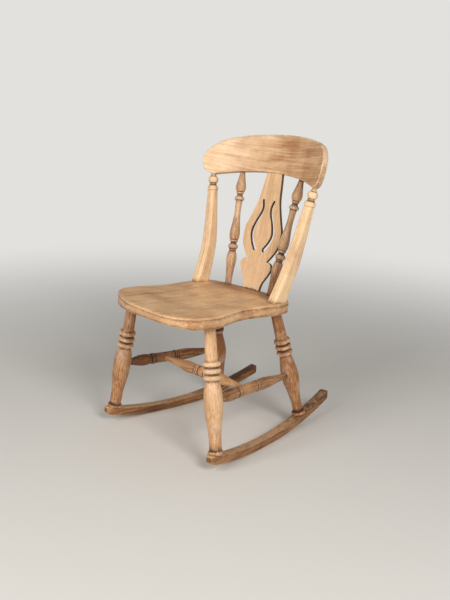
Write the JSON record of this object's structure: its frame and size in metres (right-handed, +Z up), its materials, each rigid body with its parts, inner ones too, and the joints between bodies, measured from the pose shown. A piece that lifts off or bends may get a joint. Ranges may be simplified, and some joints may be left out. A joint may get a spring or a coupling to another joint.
{
  "type": "rocking chair",
  "caption": "Armless wooden rocking chair with a dished seat, turned legs and spindles, a pierced splat and a broad bent crest rail.",
  "frame": {"origin": "on the floor below the middle of the chair's box, at its rocked rest", "axes": "+Z up, the chair faces -Y, +X is to the right of someone who stands in front and looks at it"},
  "size_m": [0.4486, 0.6034, 0.7991],
  "materials": {
    "seat_wood": "worn satin, grain front to back",
    "leg_wood": "old waxed wood with pale residue on the swells",
    "stretcher_wood": "old waxed wood",
    "rocker_wood": "worn, dull",
    "back_wood": "satin, stripped and waxed",
    "spindle_wood": "old waxed wood",
    "splat_wood": "matte, stripped",
    "wedge_wood": "dull end grain"
  },
  "bodies": {
    "root": {"seat_wide_board": "seat_wood", "seat_narrow_board": "seat_wood", "front_right_leg": "leg_wood", "front_left_leg": "leg_wood", "back_right_leg": "leg_wood", "back_left_leg": "leg_wood", "right_side_stretcher": "stretcher_wood", "left_side_stretcher": "stretcher_wood", "cross_stretcher": "stretcher_wood", "right_rocker": "rocker_wood", "left_rocker": "rocker_wood", "right_stile": "back_wood", "left_stile": "back_wood", "right_spindle": "spindle_wood", "left_spindle": "spindle_wood", "splat": "splat_wood", "crest_rail": "back_wood", "front_right_foot_wedge": "wedge_wood", "front_left_foot_wedge": "wedge_wood", "back_right_foot_wedge": "wedge_wood", "back_left_foot_wedge": "wedge_wood", "right_stile_wedge": "wedge_wood", "left_stile_wedge": "wedge_wood"}
  },
  "joints": []
}
